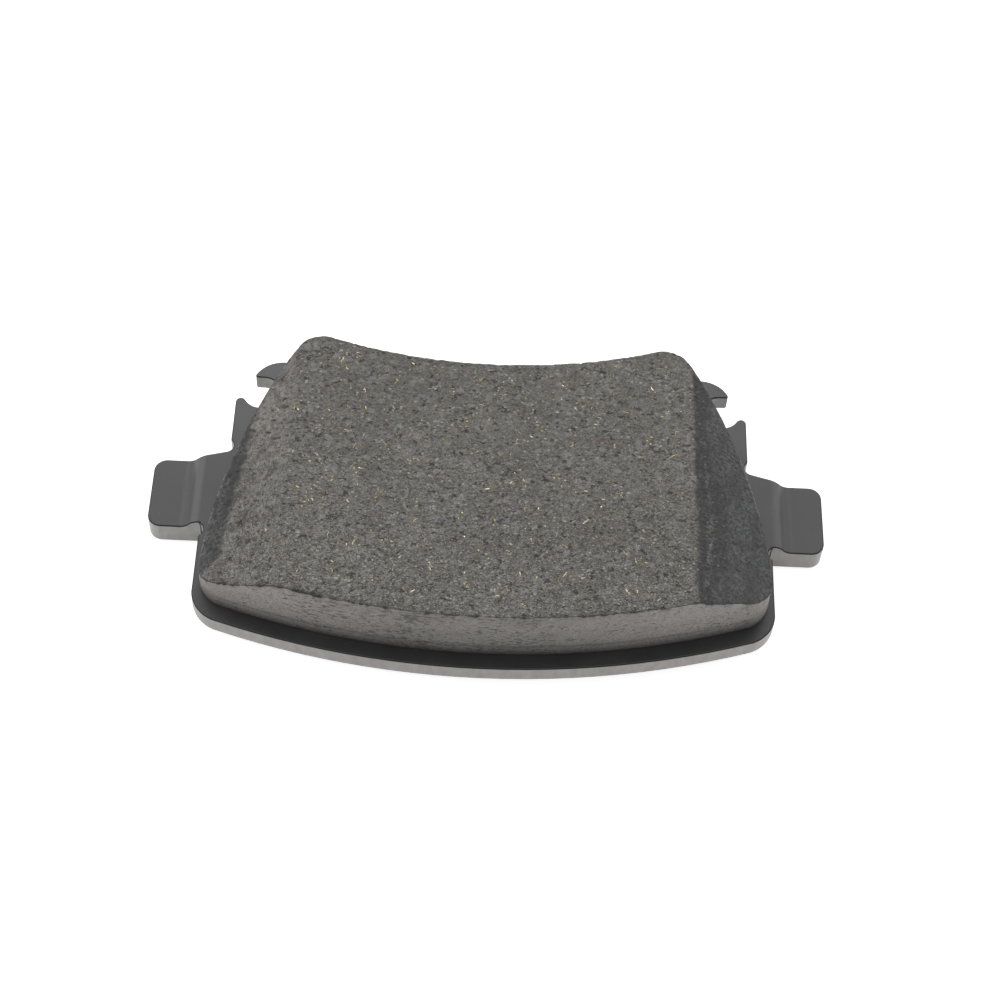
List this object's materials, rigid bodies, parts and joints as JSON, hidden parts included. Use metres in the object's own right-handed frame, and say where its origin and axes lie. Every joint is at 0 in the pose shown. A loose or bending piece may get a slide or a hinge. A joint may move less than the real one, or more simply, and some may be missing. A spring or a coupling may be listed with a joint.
{
  "type": "disc brake pad",
  "caption": "Rear disc brake pad with coined lugs, spring clip recesses, a chamfered friction lining bonded over an underlayer, and a laminated noise shim on its back.",
  "frame": {"origin": "in the plane of the shim's back face, under the middle of the backing plate", "axes": "+Z out of the friction face, along the disc's axis; +X along the lugs; -Y towards the disc's rim"},
  "size_m": [0.1054, 0.0554, 0.0172],
  "materials": {
    "plate_paint": "satin black paint on stamped steel",
    "bond_resin": "cured phenolic resin film",
    "underlayer_compound": "moulded, dark with paint overspray",
    "friction_compound": "ground, fibrous, with brass flecks",
    "shim_glue": "pressure-sensitive adhesive",
    "shim_rubber": "matt rubber coat",
    "shim_steel": "cold-rolled sheet"
  },
  "bodies": {
    "root": {"backing_plate": "plate_paint", "bond_film": "bond_resin", "underlayer": "underlayer_compound", "friction_block": "friction_compound", "shim_adhesive": "shim_glue", "shim_inner_rubber": "shim_rubber", "shim_core": "shim_steel", "shim_outer_rubber": "shim_rubber"}
  },
  "joints": []
}
